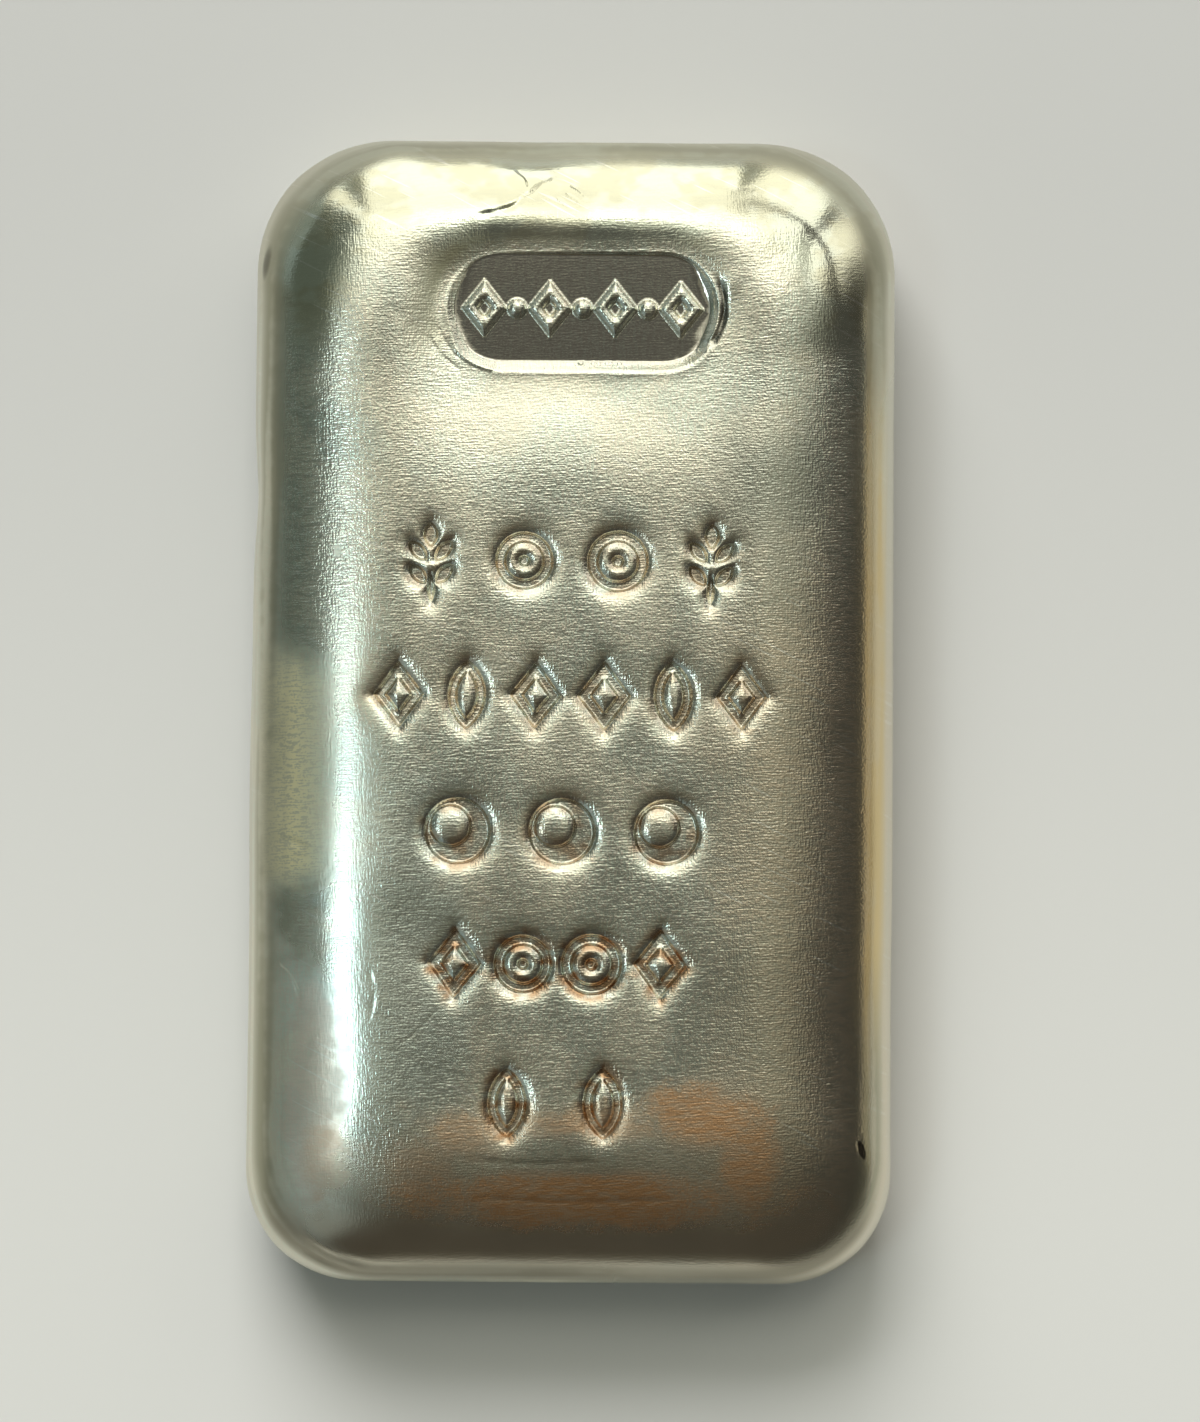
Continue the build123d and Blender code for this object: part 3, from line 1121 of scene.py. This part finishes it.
top = smooth_step(z, TOP_HEIGHT - 1.6, TOP_HEIGHT - 0.7)
panel_floor = smooth_step(in_panel, 0.8, 1.0)
polished = smooth_step(y, 14.0, 18.0) * smooth_step(z, TOP_HEIGHT - 0.35, TOP_HEIGHT - 0.75)
polished = polished * smooth_step(from_panel, 0.3, 0.8)
smoothed = spot(x, y, 0.3, 13.2, 6.5, 2.0, 0.0, 0.8)
dull = spot(x, y, -12.3, -16.5, 2.2, 6.0, wobble, 0.8)
flank = smooth_step(x, -7.4, -9.1) * smooth_step(y - 0.6 * x, 13.0, 7.0)
bare = smooth_step(y + 0.5 * wobble, -8.6, -6.8) * smooth_step(y + 0.9 * wobble, 3.4, 0.2)
bare = bare * smooth_step(x + 0.4 * wobble, -9.7, -12.3)
bare = bare * smooth_step(z, rim_height + 1.4, rim_height + 2.4)
on_wall = smooth_step(z, rim_height + 0.8, rim_height - 0.2)

# the rim's band, which lies a little lower at both ends
footwards = smooth_step(y, -20.0, -23.0)
rim_z = z + 0.35 * smooth_step(y, 17.0, 22.0) + 0.4 * footwards
near_rim = smooth_step(rim_z, rim_height + 2.9, rim_height + 2.0)
upper_wall_band = smooth_step(rim_z, rim_height + 1.1, rim_height + 1.8) * near_rim
print("the masks took", len(metal.nodes), "nodes")

# %% The scratches, as heights in millimetres
askew = turned(metal, here, radians(-3))
broad = noise(metal, askew, (1.3, 5.5, 1.3))
fine = noise(metal, askew, (2.2, 15.0, 2.2), shift=(5.0, 2.0, 9.0))
crossed = noise(metal, askew, (15.0, 2.4, 2.4), shift=(7.0, 3.0, 0.0))
pits = noise(metal, here, (10.0, 11.0, 10.0), shift=(2.0, 7.0, 4.0))
layers = noise(metal, here, (0.1, 0.1, 3.0), shift=(9.0, 4.0, 1.0))
calm = footwards * smooth_step(z, rim_height + 3.4, rim_height + 2.4)
calm = calm.do("MAXIMUM", polished.do("MAXIMUM", near_rim))
brushing = blend(1.0, 0.25, calm) * (1.0 - 0.5 * smoothed) * (1.0 - 0.75 * flank)
crossing = blend(0.0008, 0.0062, top) * (1.0 - 0.6 * polished.do("MAXIMUM", flank))
grain = brushing * (fine * 0.0078 + pits * 0.0085) + crossed * crossing
grain = grain + on_wall * (layers * 0.05 + pits * 0.012)
grain = grain * (1.0 - 0.85 * panel_floor)
bump = add_node(metal, "ShaderNodeBump", Height=grain, Strength=1.0, Distance=MM)
print("with the scratches there are", len(metal.nodes), "nodes")

# %% [markdown]
# Silver is nearly white, and most of what it shows is the room, so its own colours are pale and lie close
# together. It is cooler to the left and warmer to the right, speckled pink where the brushing broke its film,
# and hazy at the head. A few slanting hairlines are only colour.

# %% The silver's pale colours
COOL = (0.80, 0.86, 0.76, 1.0)
PALE = (0.90, 0.90, 0.76, 1.0)
COOLER = (0.86, 0.96, 0.90, 1.0)
WARM = (0.76, 0.65, 0.50, 1.0)
PINK = (0.86, 0.72, 0.62, 1.0)
HAZE = (0.66, 0.65, 0.50, 1.0)
BRIGHT = (0.96, 0.96, 0.90, 1.0)
SCUFF_AND_SHADE_GREY = (0.52, 0.53, 0.46, 1.0)
YELLOWED = (0.94, 0.88, 0.60, 1.0)
FOOT_BROWN = (0.74, 0.65, 0.50, 1.0)

tone = mix_color(metal, smooth_step(patches + (small_patches - 0.5) * 0.3, 0.38, 0.62), COOL, PALE)
speckled = smooth_step(0.5 * pits + 0.5 * crossed, 0.4, 0.62) * (1.0 - polished)
tone = mix_color(metal, speckled * 0.4, tone, PINK)
cooled = spot(x, y, -7.6, -10.0, 3.2, 7.5, wobble, 0.8)
tone = mix_color(metal, cooled * 0.7, tone, COOLER)
warmth = smooth_step(x + wobble, 3.0, 10.5) * smooth_step(y + wobble, 12.0, 1.0)
tone = mix_color(metal, warmth * 0.85, tone, WARM)
flushed = spot(x, y, -11.0, -17.0, 1.2, 4.5, wobble)
tone = mix_color(metal, flushed * 0.5, tone, PINK)
hazy = polished * blend(0.45, 1.0, smooth_step(patches + (small_patches - 0.5) * 0.8, 0.35, 0.62))
tone = mix_color(metal, hazy, tone, HAZE)
slanting = turned(metal, here, radians(27))
hairline = noise(metal, slanting, (0.35, 7.0, 0.35), shift=(1.0, 5.0, 2.0))
tone = mix_color(metal, smooth_step(hairline, 0.72, 0.78) * 0.5, tone, BRIGHT)

# scuffs all over and in one place right of the rows, and painted shade in one place left of the panel
scuffs_and_shade = smooth_step(0.4 * fine + 0.3 * pits + 0.3 * broad, 0.58, 0.38) * brushing * 0.5
scuffs_and_shade = (spot(x, y, 8.2, 9.6, 2.6, 3.6, wobble, 0.8) * 0.7).do("MAXIMUM", scuffs_and_shade)
# painted shade: the darker patch left of the panel stands in for the dark that the dish round the panel
# mirrors
scuffs_and_shade = (spot(x, y, -7.4, 17.2, 1.6, 2.4, wobble, 0.8) * 0.35).do("MAXIMUM", scuffs_and_shade)
tone = mix_color(metal, scuffs_and_shade, tone, SCUFF_AND_SHADE_GREY)

# the bare patch on the left flank, and the brown foot
tone = mix_color(metal, bare, tone, YELLOWED)
streaks = smooth_step(0.6 * fine + 0.4 * pits, 0.46, 0.62)
tone = mix_color(metal, bare * streaks * 0.6, tone, SCUFF_AND_SHADE_GREY)
brown_foot = smooth_step(y + 0.5 * wobble, -20.6, -22.6) * (1.0 - near_rim)
tone = mix_color(metal, brown_foot * 0.9, tone, FOOT_BROWN)
print("with the pale colours there are", len(metal.nodes), "nodes")

# %% [markdown]
# The wall is duller than the top, and a darker line runs along its upper edge, browner to the right. At the
# foot the line is darkest and widest, which is painted shade for the shadowed paper that the wall mirrors
# there.

# %% The wall's colours
RIM = (0.68, 0.65, 0.54, 1.0)
OLIVE = (0.40, 0.39, 0.29, 1.0)
BROWN = (0.76, 0.60, 0.32, 1.0)
SHADE = (0.27, 0.25, 0.19, 1.0)

tone = mix_color(metal, near_rim * blend(0.5, 0.8, smooth_step(layers, 0.42, 0.6)), tone, RIM)
eastern = smooth_step(x, 2.0, 9.0)
line_color = mix_color(metal, eastern * smooth_step(y.do("ABSOLUTE"), 17.0, 9.0), OLIVE, BROWN)
# painted shade: towards the foot the line turns to SHADE and widens, for the mirrored shadow on the paper
line_color = mix_color(metal, footwards, line_color, SHADE)
thin_line = 0.45 + 0.1 * eastern + 0.35 * footwards
line = blend(thin_line, 0.9, smooth_step(layers + wobble * 0.2, 0.3, 0.6))
line = line * blend(1.0, 0.6, smooth_step(y, 18.0, 23.0))
tone = mix_color(metal, upper_wall_band * line, tone, line_color)
print("with the wall there are", len(metal.nodes), "nodes")

# %% [markdown]
# Silver tarnishes to a film that is thin enough to colour the light. At the foot it lies in a ring, built
# from a few overlapping spots and thin in the ring's middle. It also gathers round the marks, more so towards
# the foot, and darkens the panel's floor. The darkest places are small: a chip near the right edge, a stain
# on the left side of the rim, and painted shade in the gap, a groove at the right end of the panel.

# %% Toning, tarnish and the darkest places
TONED = (0.72, 0.42, 0.22, 1.0)
TARNISH = (0.50, 0.30, 0.16, 1.0)
DARK = (0.62, 0.58, 0.52, 1.0)
BLACK = (0.10, 0.09, 0.07, 1.0)

# middle, reach across and along, and strength
TONING = (
    (5.8, -17.5, 2.6, 1.4, 0.95),
    (7.7, -19.8, 1.3, 2.3, 0.9),
    (1.2, -21.0, 7.8, 1.25, 1.0),
    (-4.3, -18.4, 1.9, 1.1, 0.7),
    (1.2, -17.9, 3.6, 0.8, 0.7),
    (-6.4, -20.1, 1.6, 1.5, 0.55),
    (-10.4, -19.6, 1.0, 1.6, 0.4),
)

ragged = wobble + (pits - 0.5) * 1.2 + (broad - 0.5) * 0.8
toned = 0.0
for centre_x, centre_y, reach_x, reach_y, strength in TONING:
    lobe = spot(x, y, centre_x, centre_y, reach_x, reach_y, ragged, 0.9)
    toned = (lobe * strength).do("MAXIMUM", toned)
toned = toned * (1.0 - 0.7 * spot(x, y, 0.6, -19.1, 5.0, 0.8, ragged, 0.9))
film = blend(0.7, 1.0, smooth_step(0.5 * fine + 0.5 * broad, 0.38, 0.56))
tone = mix_color(metal, toned * film, tone, TONED)
tarnish = smooth_step(from_mark, 0.6, 0.0) * smooth_step(small_patches, 0.36, 0.66)
tone = mix_color(metal, tarnish * blend(0.4, 0.95, smooth_step(y, -2.0, -12.0)), tone, TARNISH)
tone = mix_color(metal, panel_floor * blend(0.7, 0.95, smooth_step(crossed, 0.35, 0.65)), tone, DARK)

chip = spot(x + 0.3 * (y + 18.95), y, 12.68, -18.95, 0.15, 0.4, wobble * 0.4, 0.4)
stain = spot(y, z, 19.4, 4.95, 0.65, 0.25, wobble * 0.4, 0.9) * smooth_step(x, -12.0, -13.0)
# painted shade: the groove just outside the panel's right end is painted near black
gap_shade = smooth_step(from_panel, 0.06, 0.18) * smooth_step(from_panel, 0.46, 0.34)
gap_shade = gap_shade * smooth_step(x, 5.2, 5.8) * spot(x, y, 6.4, 17.1, 2.0, 1.3, wobble * 0.2, 0.5)
darkest = chip.do("MAXIMUM", stain * 0.65).do("MAXIMUM", gap_shade * 0.8)
tone = mix_color(metal, darkest, tone, BLACK)
print("with the tarnish there are", len(metal.nodes), "nodes")

# %% [markdown]
# The gloss comes last. The top is a little rougher than the shoulders, the wall and the toning are duller,
# and the bare patch is the dullest. The tangent runs in hoops round the ingot's long axis, so that the
# brushing draws every reflection out lengthwise.

# %% The silver's gloss
roughness = blend(0.24, 0.14, polished) + (patches - 0.5) * 0.1
roughness = blend(0.18, roughness, top.do("MAXIMUM", polished))
roughness = blend(roughness, 0.38, near_rim * blend(1.0, 0.3, smooth_step(x - 0.3 * y, 6.0, 11.0)))
roughness = blend(roughness, 0.42, dull.do("MAXIMUM", toned * 0.7))
roughness = blend(roughness, 0.12, panel_floor)
roughness = blend(roughness, 0.6, bare)

shader = metal.nodes["Principled BSDF"]
plug(metal, tone, shader.inputs["Base Color"])
plug(metal, roughness, shader.inputs["Roughness"])
plug(metal, Flow(metal, bump.outputs[0]), shader.inputs["Normal"])
shader.inputs["Metallic"].default_value = 1.0
shader.inputs["Anisotropic"].default_value = 0.5
shader.inputs["Anisotropic Rotation"].default_value = 0.25
hoops = add_node(metal, "ShaderNodeTangent", {"direction_type": "RADIAL", "axis": "Y"})
metal.links.new(hoops.outputs[0], shader.inputs["Tangent"])
print("the whole silver has", len(metal.nodes), "nodes")

# %% [markdown]
# The paper is a light grey that the light turns white, with painted light that makes it lighter towards the
# foot.

# %% The paper
HEAD_PAPER = (0.57, 0.57, 0.56, 1.0)
FOOT_PAPER = (0.70, 0.70, 0.68, 1.0)
PAPER_HALF_WIDTH = 2.0

paper = bpy.data.materials.new("white_paper")
paper.use_nodes = True
paper_tree = paper.node_tree
along_paper = add_node(paper_tree, "ShaderNodeSeparateXYZ", Vector=coordinates(paper_tree))
# painted light: the paper's colour grows lighter towards the foot of the ingot
painted_light_share = smooth_step(Flow(paper_tree, along_paper.outputs[1]), 32.0, -32.0)
paper_tone = mix_color(paper_tree, painted_light_share, HEAD_PAPER, FOOT_PAPER)
paper_shader = paper_tree.nodes["Principled BSDF"]
plug(paper_tree, paper_tone, paper_shader.inputs["Base Color"])
paper_shader.inputs["Roughness"].default_value = 0.9
paper_mesh = bpy.data.meshes.new("paper")
half = PAPER_HALF_WIDTH
corners = [(-half, -half, 0), (half, -half, 0), (half, half, 0), (-half, half, 0)]
paper_mesh.from_pydata(corners, [], [(0, 1, 2, 3)])
paper_mesh.materials.append(paper)
floor = link("paper", paper_mesh)
print("the paper is", 2 * half, "m wide")

# %% [markdown]
# The light is a large window to the north, beyond the head of the ingot, in a room that is otherwise dim.
# It has glazing bars, so in the polished corners of the head it shows as separate panes. The ceiling is
# brightest near the window, and dark straight above, where the camera is held. The walls are nearly black
# except close to the horizon, where pale things stand about. All this is the world, which the silver mirrors.

# %% The room
WEST = (0.093, 0.108, 0.088, 1.0)
EAST = (0.056, 0.054, 0.045, 1.0)
SOUTH = (0.062, 0.058, 0.048, 1.0)
HORIZON = (0.26, 0.26, 0.21, 1.0)
SOUTH_HORIZON = (0.15, 0.15, 0.125, 1.0)
NORTH = (0.34, 0.35, 0.29, 1.0)
CEILING_SOUTH = (0.09, 0.08, 0.055, 1.0)
CEILING_MIDDLE = (0.27, 0.27, 0.21, 1.0)
CEILING_NORTH = (0.72, 0.73, 0.60, 1.0)
OVERHEAD = (0.08, 0.08, 0.07, 1.0)

world = bpy.data.worlds.new("room")
bpy.context.scene.world = world
world.use_nodes = True
room = world.node_tree
sight = room.nodes.new("ShaderNodeTexCoord")
parts = add_node(room, "ShaderNodeSeparateXYZ", Vector=Flow(room, sight.outputs["Generated"]))
east, north, up = (Flow(room, parts.outputs[i]) for i in range(3))
walls = mix_color(room, smooth_step(east, -0.4, 0.4), WEST, EAST)
walls = mix_color(room, smooth_step(north, -0.2, -0.8), walls, SOUTH)
walls = mix_color(room, smooth_step(north, 0.6, 1.0), walls, NORTH)
low_light = smooth_step(up, 0.34, 0.03) * smooth_step(north, -0.85, -0.3)
walls = mix_color(room, low_light * blend(1.0, 0.45, smooth_step(east, 0.0, 0.6)), walls, HORIZON)
low_south = smooth_step(up, 0.18, 0.03) * smooth_step(north, -0.3, -0.85)
walls = mix_color(room, low_south, walls, SOUTH_HORIZON)
ceiling = mix_color(room, smooth_step(north, -0.35, 0.05), CEILING_SOUTH, CEILING_MIDDLE)
ceiling = mix_color(room, smooth_step(north, 0.0, 0.35), ceiling, CEILING_NORTH)
ceiling = mix_color(room, smooth_step(up, 0.975, 0.995), ceiling, OVERHEAD)
surroundings = mix_color(room, smooth_step(up, 0.72, 0.95), walls, ceiling)
plug(room, surroundings, room.nodes["Background"].inputs["Color"])
print("the room has", len(room.nodes), "nodes")

# %% [markdown]
# The window's panes are area lamps, placed by azimuth and elevation so that each lights and shows where a
# pane stood. Narrow openings to the left draw the bright stripe down the left flank, and weak glows fill the
# flanks. The paper gets most of its light from one more lamp, which the metal doesn't mirror.

# %% The windows
LAMP_DISTANCE = 2.5


def lamp(name, azimuths, elevations, radiance, color):
    """An area lamp that faces the ingot and fills a range of azimuths, from +Y to +X, and of elevations."""
    azimuth = radians(sum(azimuths) / 2)
    elevation = radians(sum(elevations) / 2)
    half_wide = radians((azimuths[1] - azimuths[0]) / 2)
    half_high = radians((elevations[1] - elevations[0]) / 2)
    data = bpy.data.lights.new(name, "AREA")
    data.shape = "RECTANGLE"
    data.size = 2 * LAMP_DISTANCE * tan(half_wide) * cos(elevation)
    data.size_y = 2 * LAMP_DISTANCE * tan(half_high)
    data.color = color
    data.energy = radiance * pi * data.size * data.size_y
    thing = link(name, data)
    away = Vector((sin(azimuth) * cos(elevation), cos(azimuth) * cos(elevation), sin(elevation)))
    thing.location = away * LAMP_DISTANCE
    thing.rotation_mode = "QUATERNION"
    thing.rotation_quaternion = away.to_track_quat("Z", "Y")
    thing.visible_camera = False
    return thing


SKY = (1.0, 0.98, 0.87)
SIDE_SKY = (0.76, 0.95, 1.0)
WALL_GLOW = (1.0, 0.87, 0.62)
WHITE = (1.0, 1.0, 1.0)
PANE_RADIANCE = 1.33

# each pane's azimuths and elevations, in degrees
PANES = (
    ((-42, -33), (14, 58)),
    ((-28, 10), (5, 71)),
    ((13, 41), (5, 41)),
    ((13, 41), (44, 71)),
    ((47, 64), (5, 41)),
    ((47, 62), (45, 56)),
)
for number, (azimuths, elevations) in enumerate(PANES):
    lamp("pane_" + str(number), azimuths, elevations, PANE_RADIANCE, SKY)
lamp("side_window_1", (-86, -71), (54, 65), 0.26, SIDE_SKY)
lamp("side_window_2", (-112, -93), (55, 65), 5.8, SIDE_SKY)
lamp("side_glow", (-150, -100), (12, 48), 0.22, SIDE_SKY)
lamp("corner_glow", (-78, -44), (3, 24), 0.22, SIDE_SKY)
lamp("east_light", (78, 102), (3, 11), 0.4, WALL_GLOW)
daylight = lamp("daylight", (-34, 8), (17, 47), 9.3, WHITE)
daylight.visible_glossy = False
print(len(bpy.data.lights), "lamps")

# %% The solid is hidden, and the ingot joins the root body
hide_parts("ingot")
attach(ingot, "root")
